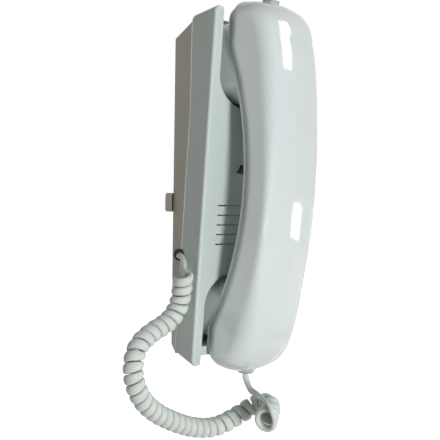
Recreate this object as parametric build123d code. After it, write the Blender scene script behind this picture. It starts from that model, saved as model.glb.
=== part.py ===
"""Wall-mounted door-entry indoor station with a hand-held receiver.

A wedge-shaped case hangs on a metal bar that is screwed to the wall. The
receiver rests in two cups of the front cover and is tied to the case by a
curly cord. Units are millimetres. X points right as seen from the front, the
front faces -Y, Z is up, and the origin is the middle of the bar on the wall.
"""
import math
import os

from build123d import *

# Case, measured from the wall
# The sharp front edge is a little wider than the rounded one
CASE_WIDTH = 86.8
CASE_HEIGHT = 217.2
FRONT_DEPTH = 33.8
FRONT_TILT = 3.67
SEAM_WIDTH = 77.0
SEAM_TOP = 100.9
SEAM_BOTTOM = -101.7
SEAM_DEPTH_TOP = 19.2
SEAM_DEPTH_BOTTOM = 9.6
SEAM_BEND = 46.0
SEAM_LEDGE = 0.6
REAR_WIDTH = 71.0
REAR_TOP = 92.0
REAR_BOTTOM = -97.8
FACE_CORNER = 4.0
SEAM_CORNER = 2.2
BACK_CORNER = 2.2
# At the top the cover stands over the rear shell, with a sloped step between
COVER_OVERHANG = 3.6
STEP_DEPTH = 2.2
WALL = 2.4
EDGE_ROUND = 1.6

# Mounting bar and its two wall screws
BAR_LENGTH = 74.0
BAR_HEIGHT = 11.6
BAR_THICKNESS = 5.0
CASE_RISE = 9.2
SCREW_SPACING = 60.0
SCREW_HOLE = 4.2
TAB_WIDTH = 8.0
TAB_REACH = 4.6

# Cups of the front cover, measured along the tilted front face
CUP_HALF = 35.4
CUP_ARCH = 20.0
UPPER_CUP_TIP = 48.0
UPPER_CUP_DEPTH = 18.0
LOWER_CUP_TIP = -51.5
LOWER_CUP_END = -97.0
LOWER_CUP_DEPTH = 14.0
CUP_DRAFT = 3.0
LIP_THICKNESS = 5.5
LIP_SET_BACK = 1.6

# Call slots and door release button on the bridge between the cups
SLOT_COUNT = 5
SLOT_PITCH = 5.92
SLOT_TOP = -10.8
SLOT_LENGTH = 56.0
SLOT_HEIGHT = 0.9
BUTTON_LENGTH = 19.0
BUTTON_TOP_LENGTH = 11.0
BUTTON_HEIGHT = 4.8
BUTTON_UP = 11.9
BUTTON_PROUD = 1.0
BUTTON_TRAVEL = 1.5
CLEARANCE = 0.3

# Receiver, in the tilted frame of the front face
HANDSET_HALF = 28.75
HANDSET_WALL = 2.2
CROWN = 1.2
PIVOT_OUT = -3.0
END_RADIUS = 22.5
END_CENTRE_OUT = 8.5
PARTING_OUT = 19.4
PARTING_RADIUS = 208.0
PARTING_END = 85.0
BACK_INSET = 0.9
BACK_WALL = 2.4
# Stations along the receiver: distance up, height of the face, corner radius
STATIONS = (
    (-90.7, 29.8, 12.0),
    (-78.0, 32.4, 11.0),
    (-60.0, 33.4, 7.5),
    (-40.0, 34.4, 4.6),
    (-20.0, 35.3, 3.4),
    (0.0, 36.0, 3.6),
    (20.0, 36.4, 5.5),
    (40.0, 36.3, 8.3),
    (60.0, 35.3, 10.4),
    (78.0, 33.3, 11.4),
    (92.8, 29.8, 11.6),
)
FAN_ANGLES = (22.5, 45.0, 67.5, 90.0)
# Ear and mouth pieces: middle, half width, half length, depth below the front
EAR_PIECE = (77.2, 27.2, 26.8, 17.6)
MOUTH_PIECE = (-75.6, 27.2, 21.0, 13.6)
PIECE_ARCH = 15.0
PIECE_DRAFT = 6.0
# Corners in plan, along and across: square at the ear, tapered at the mouth
EAR_CORNER = (18.0, 13.5)
MOUTH_CORNER = (27.6, 18.4)
BOSS_OUT = 10.2
BOSS_ROOT = 10.0
BOSS_TIP = 4.8
BOSS_START = 106.0
BOSS_END = 114.6
LUG_END = 116.9
LUG_SIZE = (10.0, 5.0, 6.0)
HANDSET_SCREW_UP = 44.0
HANDSET_POST = 3.2
SCREW_SHANK = 1.25
SCREW_HEAD = 2.6

# Hook switch
PLUNGER_RADIUS = 3.0
PLUNGER_UP = 72.0
PLUNGER_STROKE = 4.0
SWITCH_BODY = (20.0, 10.0, 6.4)

# Circuit board
BOARD_WIDTH = 62.0
BOARD_LOW = -45.0
BOARD_HIGH = 42.0
BOARD_DEPTH = 17.0
BOARD_THICKNESS = 1.6
POST_ACROSS = 27.0
POST_UP = 36.0
POST_DOWN = -39.0

# Speaker and capsules
SPEAKER_RADIUS = 18.0
SPEAKER_DEPTH = 7.0
CAPSULE_RADIUS = 18.0
CAPSULE_DEPTH = 9.0
FELT_THICKNESS = 1.0
MICROPHONE_RADIUS = 4.85
MICROPHONE_DEPTH = 5.0
BOOT_WALL = 1.6

# Curly cord
CORD_DIAMETER = 3.8
CORD_SIDES = 5
COIL_RADIUS = 4.4
EXIT_HEIGHT = -41.0
EXIT_DEPTH = 12.4
GROMMET_RADIUS = 3.6
GROMMET_FACE = 39.4
GROMMET_LENGTH = 6.2
GROMMET_PROUD = 0.3
# Route of the middle of the coil, from the case to the receiver
COIL_ROUTE = (
    (-51.0, -25.5, -53.0),
    (-47.5, -22.5, -67.5),
    (-54.5, -19.0, -80.5),
    (-70.0, -16.0, -86.5),
    (-83.5, -14.5, -94.0),
    (-87.0, -14.5, -109.0),
    (-80.5, -15.5, -124.0),
    (-67.5, -17.0, -134.5),
    (-51.5, -19.5, -142.0),
    (-34.0, -21.5, -147.5),
    (-16.0, -26.0, -148.5),
    (-1.0, -32.0, -142.5),
    (7.0, -44.5, -132.5),
    (0.0, -58.5, -134.5),
    (-16.0, -61.5, -140.0),
)
# Points that the wire passes between its last curl and the receiver
LEAD_ROUTE = (
    (-17.0, -65.0, -130.5),
    (-11.5, -53.0, -126.5),
    (-1.0, -42.0, -127.0),
)
# Curls reached at each tenth of the route
COIL_CURLS = (0.0, 3.7, 7.3, 11.0, 14.9, 18.9, 22.9, 26.8, 30.1, 33.1, 35.7)
COIL_START_TURN = 0.88
# The last curl hangs loose and opens out
LOOSE_CURLS = 1.4
LOOSENESS = 1.2
LEAST_GAP = 0.4

os.makedirs("parts", exist_ok=True)
tilt = math.radians(FRONT_TILT)
front = Plane(
    origin=(0, -FRONT_DEPTH, 0),
    x_dir=(1, 0, 0),
    z_dir=(0, -math.cos(tilt), -math.sin(tilt)),
)


def save(shape, name):
    """Lift a piece from the case's middle to the bar's and write it."""
    export_step(Pos(0, 0, CASE_RISE) * shape, "parts/" + name + ".step")


def on_front(across, up, out):
    """Point given along the tilted front face."""
    return front.from_local_coords(Vector(across, up, out))


def slab_profile(points, half):
    """Bar with an outline of (depth, height) points, across the case."""
    corners = [(0, -depth, height) for depth, height in points]
    face = make_face(Polyline(*corners, close=True))
    return extrude(face, amount=half, dir=(1, 0, 0), both=True)


def section(plane, width, height, corner, low):
    """Rounded rectangle of the case, from its lowest height up."""
    shape = RectangleRounded(width, height, corner)
    return plane * Pos(0, low + height / 2) * shape


# Case: one wedge, three outlines deep, parted along a bent seam
seam_tilt = math.atan((SEAM_DEPTH_TOP - SEAM_DEPTH_BOTTOM) / (SEAM_TOP - SEAM_BOTTOM))
seam_mid = SEAM_DEPTH_BOTTOM - SEAM_BOTTOM * math.tan(seam_tilt)


def case_body(ledge, wall, overhang=0):
    """Outer form of the case, or its hollow when a wall is given."""
    face_plane = front.offset(-wall)
    seam_plane = Plane(
        origin=(0, -seam_mid, 0),
        x_dir=(1, 0, 0),
        z_dir=(0, -math.cos(seam_tilt), -math.sin(seam_tilt)),
    )
    back_plane = Plane(
        origin=(0, -BAR_THICKNESS - wall, 0), x_dir=(1, 0, 0), z_dir=(0, -1, 0)
    )
    inset = 2 * (wall + ledge)
    face_high = CASE_HEIGHT / math.cos(tilt) - 2 * wall
    face_shape = section(
        face_plane, CASE_WIDTH - 2 * wall, face_high, FACE_CORNER, -face_high / 2
    )
    seam_high = (SEAM_TOP - SEAM_BOTTOM) / math.cos(seam_tilt) - inset
    seam_low = SEAM_BOTTOM / math.cos(seam_tilt) + inset / 2
    seam_shape = section(
        seam_plane, SEAM_WIDTH - inset, seam_high + overhang, SEAM_CORNER, seam_low
    )
    back_high = REAR_TOP - REAR_BOTTOM - inset
    back_shape = section(
        back_plane, REAR_WIDTH - inset, back_high, BACK_CORNER, REAR_BOTTOM + inset / 2
    )
    return loft([face_shape, seam_shape, back_shape], ruled=True)


seam_slope = (SEAM_DEPTH_TOP - SEAM_DEPTH_BOTTOM) / (SEAM_BEND - SEAM_BOTTOM)
seam_foot = SEAM_DEPTH_BOTTOM - seam_slope * 20
behind_seam = slab_profile(
    (
        (0, SEAM_BOTTOM - 20),
        (seam_foot, SEAM_BOTTOM - 20),
        (SEAM_DEPTH_TOP, SEAM_BEND),
        (SEAM_DEPTH_TOP, SEAM_TOP + 20),
        (0, SEAM_TOP + 20),
    ),
    CASE_WIDTH,
)


def cup_outline(half, tip, end, arch):
    """Outline of a cup: an arched tip and straight sides to its end."""
    way = 1 if end > tip else -1
    middle = tip + way * arch
    straight = Pos(0, (middle + end) / 2) * Rectangle(2 * half, abs(end - middle))
    return straight + Pos(0, middle) * Ellipse(half, arch)


def cup_space(tip, end, depth, wall):
    """Space of a cup, from above the front face down to its floor."""
    way = 1 if end > tip else -1
    rim = wall + 6 * math.tan(math.radians(CUP_DRAFT))
    foot = wall - (depth + wall) * math.tan(math.radians(CUP_DRAFT))
    outlines = []
    for grow, level in ((rim, 6), (foot, -depth - wall)):
        outline = cup_outline(
            CUP_HALF + grow, tip - way * grow, end + way * grow, CUP_ARCH + grow
        )
        outlines.append(front * Pos(0, 0, level) * outline)
    return loft(outlines, ruled=True)


to_front = (Align.CENTER, Align.CENTER, Align.MIN)
low_side = (Align.CENTER, Align.CENTER, Align.MAX)
bore = Pos(-SEAM_WIDTH / 2, -EXIT_DEPTH, EXIT_HEIGHT) * Rot(0, 90, 0)
exit_bore = bore * Cylinder(GROMMET_RADIUS, 14)

upper_end = 125.0
front_shape = case_body(SEAM_LEDGE, 0, COVER_OVERHANG) - behind_seam
step_top = SEAM_TOP + COVER_OVERHANG + 0.4
front_shape -= slab_profile(
    (
        (SEAM_DEPTH_TOP - 2, SEAM_TOP + 0.4),
        (SEAM_DEPTH_TOP, SEAM_TOP + 0.4),
        (SEAM_DEPTH_TOP + STEP_DEPTH, step_top),
        (SEAM_DEPTH_TOP + STEP_DEPTH, step_top + 10),
        (SEAM_DEPTH_TOP - 2, step_top + 10),
    ),
    CASE_WIDTH,
)
front_edges = front_shape.edges().filter_by(
    lambda e: abs(front.to_local_coords(e.center()).Z) < 0.05
)
front_shape = fillet(front_edges, EDGE_ROUND)
hollow = case_body(SEAM_LEDGE, WALL)
hollow -= cup_space(UPPER_CUP_TIP, upper_end, UPPER_CUP_DEPTH, WALL)
hollow -= cup_space(LOWER_CUP_TIP, LOWER_CUP_END, LOWER_CUP_DEPTH, WALL)
front_cover = front_shape - hollow
front_cover -= cup_space(UPPER_CUP_TIP, upper_end, UPPER_CUP_DEPTH, 0)
front_cover -= cup_space(LOWER_CUP_TIP, LOWER_CUP_END, LOWER_CUP_DEPTH, 0)

# The lower cup ends in a low lip, and the case is open below it
lip_low = LOWER_CUP_END - LIP_THICKNESS
below_lip = front * Pos(0, lip_low - 15, -LIP_SET_BACK)
notch = below_lip * Box(2 * CUP_HALF, 30, 60)

lip = front * Pos(0, LOWER_CUP_END - LIP_THICKNESS / 2, -11)
lip_block = lip * Box(2 * (CUP_HALF + WALL), LIP_THICKNESS, 24)
front_cover += (lip_block & case_body(SEAM_LEDGE, 1)) - behind_seam
front_cover -= notch
above_lip = front * Pos(0, LOWER_CUP_END, -LIP_SET_BACK)
front_cover -= above_lip * Box(2 * CUP_HALF, 2 * LIP_THICKNESS + 1, 20, align=to_front)
front_cover -= exit_bore

# Call slots, cut through the bridge
slot_middle = SLOT_TOP - SLOT_PITCH * (SLOT_COUNT - 1) / 2
for i in range(SLOT_COUNT):
    slot = SlotOverall(SLOT_LENGTH, SLOT_HEIGHT)
    place = front * Pos(0, SLOT_TOP - i * SLOT_PITCH)
    front_cover -= extrude(place * slot, amount=WALL + 1, both=True)


def button_outline(grow):
    """Trapezoid of the door release button, longer at its foot."""
    low = BUTTON_UP - BUTTON_HEIGHT / 2 - grow
    high = BUTTON_UP + BUTTON_HEIGHT / 2 + grow
    foot = BUTTON_LENGTH / 2 + grow
    head = BUTTON_TOP_LENGTH / 2 + grow
    corners = [(-foot, low), (foot, low), (head, high), (-head, high)]
    return front * make_face(Polyline(*corners, close=True))


front_cover -= extrude(button_outline(CLEARANCE), amount=WALL + 1, both=True)
plunger_place = front * Pos(0, PLUNGER_UP, -UPPER_CUP_DEPTH)
front_cover -= plunger_place * Cylinder(PLUNGER_RADIUS + CLEARANCE, 3 * WALL)

# Ring that holds the call speaker behind the slots
speaker_place = front * Pos(0, slot_middle, -WALL)
ring = Cylinder(SPEAKER_RADIUS + 1.8, 5, align=low_side)
ring -= Cylinder(SPEAKER_RADIUS, 12)
front_cover += speaker_place * ring
save(front_cover, "front_cover")

call_speaker = Cylinder(
    SPEAKER_RADIUS, SPEAKER_DEPTH, align=low_side
)
call_speaker -= Pos(0, 0, -SPEAKER_DEPTH) * Cylinder(SPEAKER_RADIUS - 6, 3)
save(speaker_place * call_speaker, "call_speaker")

# Rear shell with its posts, bar slots and wire entry
post_places = [
    (x, z) for x in (-POST_ACROSS, POST_ACROSS) for z in (POST_UP, POST_DOWN)
]
inner_back = BAR_THICKNESS + WALL


def wall_place(across, height, depth):
    """Location facing the front, at a depth from the wall."""
    return Plane(origin=(across, -depth, height), x_dir=(1, 0, 0), z_dir=(0, -1, 0))


rear_shell = (case_body(0, 0) & behind_seam) - case_body(0, WALL)
for x, z in post_places:
    post = Cylinder(3, BOARD_DEPTH - inner_back + 0.4, align=to_front)
    rear_shell += wall_place(x, z, inner_back - 0.4) * post
    rear_shell -= wall_place(x, z, inner_back) * Cylinder(1.1, 30, align=to_front)
bar_height = -CASE_RISE
tab_across = 22.0
for x in (-tab_across, tab_across):
    tab_slot = Box(TAB_WIDTH + 0.6, 2.6, 12)
    rear_shell -= wall_place(x, bar_height, BAR_THICKNESS) * tab_slot
wire_entry = wall_place(0, 22, BAR_THICKNESS) * Box(26, 14, 12)
rear_shell -= wire_entry
rear_shell -= exit_bore
save(rear_shell, "rear_shell")

# Mounting bar
bar = Box(BAR_LENGTH, BAR_HEIGHT, BAR_THICKNESS, align=to_front)
bar = fillet(bar.edges().filter_by(Axis.Z), 2.0)
for x in (-SCREW_SPACING / 2, SCREW_SPACING / 2):
    bar -= Pos(x, 0, 0) * Cylinder(SCREW_HOLE / 2, 20)
for x in (-tab_across, tab_across):
    tab = Box(TAB_WIDTH, 2.0, BAR_THICKNESS + TAB_REACH, align=to_front)
    bar += Pos(x, 0, 0) * tab
save(wall_place(0, bar_height, 0) * bar, "mounting_bar")

# Circuit board and what it carries
board = Box(BOARD_WIDTH, BOARD_HIGH - BOARD_LOW, BOARD_THICKNESS, align=to_front)
board = fillet(board.edges().filter_by(Axis.Z), 2.0)
board_middle = (BOARD_HIGH + BOARD_LOW) / 2
board = wall_place(0, board_middle, BOARD_DEPTH) * board
for x, z in post_places:
    board -= wall_place(x, z, 0) * Cylinder(1.5, 90)
save(board, "circuit_board")

board_front = BOARD_DEPTH + BOARD_THICKNESS
screws = []
for x, z in post_places:
    screw = Cylinder(1.1, 8, align=low_side)
    screw += Cylinder(2.4, 1.6, align=to_front)
    screws.append(wall_place(x, z, board_front) * screw)
save(Compound(screws), "board_screws")

terminal_block = Box(22, 9, 8.2, align=low_side)
for i in range(4):
    screw_well = Pos(-8.1 + 5.4 * i, 0, -8.2) * Cylinder(1.7, 3)
    terminal_block -= screw_well
save(wall_place(0, 22, BOARD_DEPTH) * terminal_block, "terminal_block")

touch_switch = Box(6.2, 6.2, 4.0, align=to_front) + Cylinder(1.7, 5.0, align=to_front)
save(wall_place(0, BUTTON_UP, board_front) * touch_switch, "touch_switch")

capacitor = Cylinder(3.2, 5.6, align=to_front)
coil_can = Box(9, 9, 6.0, align=to_front)
chip = Box(9.6, 6.2, 1.8, align=to_front)
parts_on_board = [
    wall_place(-20, 16, board_front) * capacitor,
    wall_place(20, 18, board_front) * capacitor,
    wall_place(21, 4, board_front) * coil_can,
    wall_place(-19, 2, board_front) * chip,
]
save(Compound(parts_on_board), "board_components")

# Hook switch behind the upper cup, and its plunger
switch_up = PLUNGER_UP * math.cos(tilt) + 20 * math.sin(tilt)
switch_body = Box(*SWITCH_BODY, align=to_front)
save(wall_place(0, switch_up, inner_back) * switch_body, "hook_switch")
plunger_top = -EAR_PIECE[3] - CLEARANCE
switch_top = inner_back + SWITCH_BODY[2]
plunger_foot = front.to_local_coords(Vector(0, -switch_top - 0.5, switch_up)).Z
plunger_length = plunger_top - plunger_foot
plunger = Cylinder(PLUNGER_RADIUS, plunger_length, align=low_side)
plunger = chamfer(plunger.faces().sort_by(Axis.Z)[-1].edges(), 0.6)
save(front * Pos(0, PLUNGER_UP, plunger_top) * plunger, "hook_plunger")

# Door release button with its stem and flange
stem_end = front.to_local_coords(
    Vector(0, -board_front - 5.0 - BUTTON_TRAVEL - 0.3, BUTTON_UP)
).Z
button = extrude(button_outline(0), amount=BUTTON_PROUD)
button += extrude(button_outline(0), amount=-WALL - 1.2)
flange = extrude(button_outline(1.0), amount=-WALL - 1.2)
flange -= extrude(button_outline(3.0), amount=-WALL - 0.2)
button += flange
stem_length = -stem_end - WALL
stem = Cylinder(2.0, stem_length, align=low_side)
button += front * Pos(0, BUTTON_UP, -WALL) * stem
save(button, "door_button")


def handset_section(frame, top, across, drop, wall):
    """Arched cross-section of the receiver: flat sides, soft corners, crown."""
    low = 2.0
    half = HANDSET_HALF - wall
    height = top - wall
    across = across - wall * 0.5
    drop = drop - wall * 0.5
    crown = CROWN if across < half - 12 else CROWN * 0.4
    shoulder = half - across
    side_end = height - crown - drop
    bend = 0.55
    left = Bezier(
        (-half, side_end),
        (-half, side_end + bend * drop),
        (-shoulder - bend * across, height - crown),
        (-shoulder, height - crown),
    )
    right = Bezier(
        (shoulder, height - crown),
        (shoulder + bend * across, height - crown),
        (half, side_end + bend * drop),
        (half, side_end),
    )
    top_arc = ThreePointArc(
        (-shoulder, height - crown), (0, height), (shoulder, height - crown)
    )
    outline = Line((-half, low), (-half, side_end)) + left + top_arc + right
    outline += Line((half, side_end), (half, low)) + Line((half, low), (-half, low))
    return frame * make_face(outline)


def end_reach(angle):
    """Distance from the pivot to the rounded end of the receiver."""
    rise = END_CENTRE_OUT - PIVOT_OUT
    along = rise * math.cos(angle)
    reach = along + math.sqrt(END_RADIUS ** 2 - (rise * math.sin(angle)) ** 2)
    if PIVOT_OUT + reach * math.cos(angle) < END_CENTRE_OUT:
        reach = END_RADIUS / math.sin(angle)
    return reach


def end_station(way):
    """Last station of the receiver on that side, and its corner in plan."""
    if way < 0:
        return STATIONS[0], MOUTH_CORNER
    return STATIONS[-1], EAR_CORNER


def fan_frame(way, angle):
    """Plane through the pivot, turned from upright towards the end."""
    pivot_up = end_station(way)[0][0]
    out = front.z_dir * math.cos(angle) + front.y_dir * (way * math.sin(angle))
    return Plane(
        origin=on_front(0, pivot_up, PIVOT_OUT),
        x_dir=(1, 0, 0),
        z_dir=Vector(1, 0, 0).cross(out),
    )


def station_section(station, wall):
    """Section square to the length of the receiver."""
    up, height, corner = station
    frame = Plane(
        origin=on_front(0, up, PIVOT_OUT), x_dir=(1, 0, 0), z_dir=-front.y_dir
    )
    top = height + CROWN - PIVOT_OUT
    return handset_section(frame, top, corner, corner, wall)


def handset_end(way, wall):
    """Rounded end of the receiver, lofted round the pivot."""
    station, end_corner = end_station(way)
    corner = station[2]
    sections = [station_section(station, wall)]
    for degrees in FAN_ANGLES:
        angle = math.radians(degrees)
        share = degrees / 90
        across = corner + (end_corner[0] - corner) * share
        drop = corner + (end_corner[1] - corner) * share
        frame = fan_frame(way, angle)
        sections.append(handset_section(frame, end_reach(angle), across, drop, wall))
    return loft(sections)


def handset_body(wall):
    """Outer form of the receiver, or its plainer hollow when a wall is given."""
    body = loft([station_section(station, wall) for station in STATIONS], ruled=wall > 0)
    return body + handset_end(-1, wall) + handset_end(1, wall)


def parting_height(up):
    """Height of the receiver's parting line above the front face."""
    reach = min(abs(up), PARTING_END)
    return PARTING_OUT - PARTING_RADIUS + math.sqrt(PARTING_RADIUS ** 2 - reach ** 2)


def under_parting(drop):
    """Everything under the parting surface, moved down by a distance."""
    low = -40.0
    flat = parting_height(PARTING_END) - drop
    corners = (
        (PARTING_END, flat),
        (130, flat),
        (130, low),
        (-130, low),
        (-130, flat),
        (-PARTING_END, flat),
    )
    points = [on_front(0, up, out) for up, out in corners]
    crest = on_front(0, 0, PARTING_OUT - drop)
    outline = ThreePointArc(points[-1], crest, points[0]) + Polyline(*points)
    return extrude(make_face(outline), amount=60, dir=(1, 0, 0), both=True)


# Receiver shell with its screw posts, cord boss and a lug at the top
screw_ups = (-HANDSET_SCREW_UP, HANDSET_SCREW_UP)
boss_plane = Plane(
    origin=on_front(0, -BOSS_START, BOSS_OUT), x_dir=(1, 0, 0), z_dir=-front.y_dir
)
boss = boss_plane * Cone(BOSS_ROOT, BOSS_TIP, BOSS_END - BOSS_START, align=to_front)
lug = front * Pos(0, LUG_END - LUG_SIZE[1] / 2, BOSS_OUT) * Box(*LUG_SIZE)
handset_hollow = handset_body(HANDSET_WALL) - boss
for up in screw_ups:
    handset_hollow -= front * Pos(0, up, 0) * Cylinder(HANDSET_POST, 60, align=to_front)
handset_shell = handset_body(0) + boss + lug
handset_shell -= handset_hollow
handset_shell -= under_parting(0)
handset_shell -= boss_plane * Cylinder(GROMMET_RADIUS, 60)
for up in screw_ups:
    handset_shell -= front * Pos(0, up, 0) * Cylinder(SCREW_SHANK, 26, align=to_front)
save(handset_shell, "handset_shell")


def arched_outline(half, half_long, arch):
    """Straight-sided outline with an arched end above and below."""
    outline = Rectangle(2 * half, 2 * (half_long - arch))
    for way in (-1, 1):
        outline += Pos(0, way * (half_long - arch)) * Ellipse(half, arch)
    return outline


def piece_form(piece, wall):
    """Drafted ear or mouth piece, or its hollow when a wall is given."""
    middle, half, half_long, depth = piece
    outlines = []
    for level in (14.0, wall - depth):
        grow = level * math.tan(math.radians(PIECE_DRAFT)) - wall
        outline = arched_outline(half + grow, half_long + grow, PIECE_ARCH + grow)
        outlines.append(front * Pos(0, middle, level) * outline)
    return loft(outlines, ruled=True)


# Receiver back: an arched plate with the ear and mouth pieces moulded on
plan_half = HANDSET_HALF - BACK_INSET
arches = []
for way in (-1, 1):
    station, corner = end_station(way)
    middle = station[0] + way * (END_RADIUS - BACK_INSET - corner[1])
    arches.append((middle, corner[1]))
plan_middle = (arches[0][0] + arches[1][0]) / 2
plan = Pos(0, plan_middle) * Rectangle(2 * plan_half, arches[1][0] - arches[0][0])
for middle, arch in arches:
    plan += Pos(0, middle) * Ellipse(plan_half, arch)
plan_body = extrude(front * plan, amount=40, both=True)
plate = (under_parting(0) - under_parting(BACK_WALL)) & plan_body
pieces = piece_form(EAR_PIECE, 0) + piece_form(MOUTH_PIECE, 0)
handset_back = plate + (pieces & plan_body & under_parting(0))
handset_back -= piece_form(EAR_PIECE, BACK_WALL)
handset_back -= piece_form(MOUTH_PIECE, BACK_WALL)
screw_seat = parting_height(HANDSET_SCREW_UP) - BACK_WALL + 0.8
for up in screw_ups:
    pad = Cylinder(SCREW_HEAD + 1.8, 2.4, align=low_side)
    handset_back += front * Pos(0, up, screw_seat + 0.6) * pad
    handset_back -= front * Pos(0, up, screw_seat) * Cylinder(SCREW_HEAD + 0.2, 9, align=low_side)
    handset_back -= front * Pos(0, up, 0) * Cylinder(SCREW_SHANK, 60)
ear_floor = front * Pos(0, EAR_PIECE[0], BACK_WALL - EAR_PIECE[3])
mouth_floor = front * Pos(0, MOUTH_PIECE[0], BACK_WALL - MOUTH_PIECE[3])
for i in range(6):
    hole = Rot(0, 0, 60 * i) * Pos(8, 0) * Cylinder(1.6, 10)
    handset_back -= ear_floor * hole
handset_back -= mouth_floor * Cylinder(1.6, 10)
save(handset_back, "handset_back")

felt = Cylinder(CAPSULE_RADIUS - 1, FELT_THICKNESS, align=to_front)
save(ear_floor * felt, "receiver_felt")
capsule = Cylinder(CAPSULE_RADIUS, CAPSULE_DEPTH, align=to_front)
save(ear_floor * Pos(0, 0, FELT_THICKNESS) * capsule, "receiver_capsule")
boot = Cylinder(MICROPHONE_RADIUS + BOOT_WALL, MICROPHONE_DEPTH, align=to_front)
boot -= Cylinder(MICROPHONE_RADIUS, 30)
save(mouth_floor * boot, "microphone_boot")
microphone = Cylinder(MICROPHONE_RADIUS, MICROPHONE_DEPTH, align=to_front)
save(mouth_floor * microphone, "microphone")

screws = []
for up in screw_ups:
    screw = Cylinder(SCREW_SHANK, 24 - screw_seat, align=to_front)
    screw += Cylinder(SCREW_HEAD, 1.4, align=low_side)
    screws.append(front * Pos(0, up, screw_seat) * screw)
save(Compound(screws), "handset_screws")

# Grommets at both ends of the cord
grommet = Cylinder(GROMMET_RADIUS, BOSS_END - BOSS_START + GROMMET_PROUD, align=to_front)
grommet += Cylinder(GROMMET_RADIUS + 1.2, 1.2, align=low_side)
save(boss_plane * grommet, "handset_grommet")
base_grommet = Cylinder(GROMMET_RADIUS, GROMMET_LENGTH, align=to_front)
base_grommet += Cylinder(GROMMET_RADIUS + 1.0, 1.2, align=low_side)
exit_plane = Plane(
    origin=(-GROMMET_FACE + GROMMET_LENGTH, -EXIT_DEPTH, EXIT_HEIGHT),
    x_dir=(0, 1, 0),
    z_dir=(-1, 0, 0),
)
save(exit_plane * base_grommet, "base_grommet")



def quadratic_route(points, steps):
    """Points of the smooth route that the control points draw."""
    controls = [Vector(*p) for p in points]
    joints = [controls[0]]
    for a, b in zip(controls[1:-2], controls[2:-1]):
        joints.append((a + b) * 0.5)
    joints.append(controls[-1])
    curve = []
    for i in range(len(joints) - 1):
        for k in range(steps):
            t = k / steps
            a = joints[i] * (1 - t) ** 2
            b = controls[i + 1] * (2 * t * (1 - t))
            c = joints[i + 1] * t ** 2
            curve.append(a + b + c)
    curve.append(controls[-1])
    return curve


def carried_frames(curve):
    """Lengths along the curve and a cross direction carried without twist."""
    tangents = []
    for i in range(len(curve)):
        a = curve[max(i - 1, 0)]
        b = curve[min(i + 1, len(curve) - 1)]
        tangents.append((b - a).normalized())
    side = tangents[0].cross(Vector(0, 0, 1)).normalized()
    sides = [side]
    lengths = [0.0]
    for i in range(1, len(curve)):
        side = side - tangents[i] * side.dot(tangents[i])
        side = side.normalized()
        sides.append(side)
        lengths.append(lengths[-1] + (curve[i] - curve[i - 1]).length)
    return tangents, sides, lengths


def between(values, share):
    """Value at a share of the way through an evenly spaced list."""
    place = min(max(share, 0.0), 1.0) * (len(values) - 1)
    i = min(int(place), len(values) - 2)
    return values[i] + (values[i + 1] - values[i]) * (place - i)


def share_at_turn(turn):
    """Share of the route where the coil has made this many turns."""
    low = 0.0
    high = 1.0
    for _ in range(40):
        middle = (low + high) / 2
        if between(COIL_CURLS, middle) < turn:
            low = middle
        else:
            high = middle
    return low


def coil_point(turn, curve, tangents, sides, lengths):
    """Point of the wire's centre after this many turns of the coil."""
    share = share_at_turn(turn)
    target = share * lengths[-1]
    i = 0
    low = 0
    high = len(lengths) - 1
    while high - low > 1:
        i = (low + high) // 2
        if lengths[i] < target:
            low = i
        else:
            high = i
    t = (target - lengths[low]) / (lengths[high] - lengths[low])
    centre = curve[low] + (curve[high] - curve[low]) * t
    tangent = (tangents[low] + (tangents[high] - tangents[low]) * t).normalized()
    side = sides[low] + (sides[high] - sides[low]) * t
    side = (side - tangent * side.dot(tangent)).normalized()
    other = tangent.cross(side)
    angle = 2 * math.pi * (turn + COIL_START_TURN)
    loose = max(0.0, turn - COIL_CURLS[-1] + LOOSE_CURLS)
    radius = COIL_RADIUS + LOOSENESS * loose
    return centre + (side * math.cos(angle) + other * math.sin(angle)) * radius


def biarc(start, start_way, end, end_way):
    """Two tangent arcs from one station of the wire to the next."""
    chord = end - start
    ways = start_way + end_way
    bend = 2 * (1 - start_way.dot(end_way))
    if bend < 1e-9:
        reach = chord.dot(chord) / (4 * chord.dot(start_way))
    else:
        along = chord.dot(ways)
        reach = (math.sqrt(along ** 2 + bend * chord.dot(chord)) - along) / bend
    joint = (start + end + (start_way - end_way) * reach) * 0.5
    middle = end - end_way * reach - start - start_way * reach
    return joint, middle.normalized()


# Curly cord: stations of half a turn each, with a straight end at each grommet
curve = quadratic_route(COIL_ROUTE, 40)
tangents, sides, lengths = carried_frames(curve)


def wire(turn):
    """Point of the wire on the coil."""
    return coil_point(turn, curve, tangents, sides, lengths)


case_end = exit_plane.from_local_coords(Vector(0, 0, GROMMET_LENGTH))
receiver_end = on_front(0, -BOSS_END - GROMMET_PROUD, BOSS_OUT)
stations = [(case_end, exit_plane.z_dir)]
stations.append((case_end + exit_plane.z_dir * CORD_DIAMETER, exit_plane.z_dir))
half_turns = int(2 * COIL_CURLS[-1])
for i in range(half_turns + 1):
    turn = COIL_CURLS[-1] * i / half_turns
    way = (wire(turn + 0.004) - wire(turn - 0.004)).normalized()
    stations.append((wire(turn), way))
lead_start = receiver_end - front.y_dir * CORD_DIAMETER
lead = [stations[-1][0]] + [Vector(*p) for p in LEAD_ROUTE] + [lead_start]
for i in range(1, len(lead) - 1):
    stations.append((lead[i], (lead[i + 1] - lead[i - 1]).normalized()))
stations.append((lead_start, front.y_dir))
stations.append((receiver_end, front.y_dir))

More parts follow.
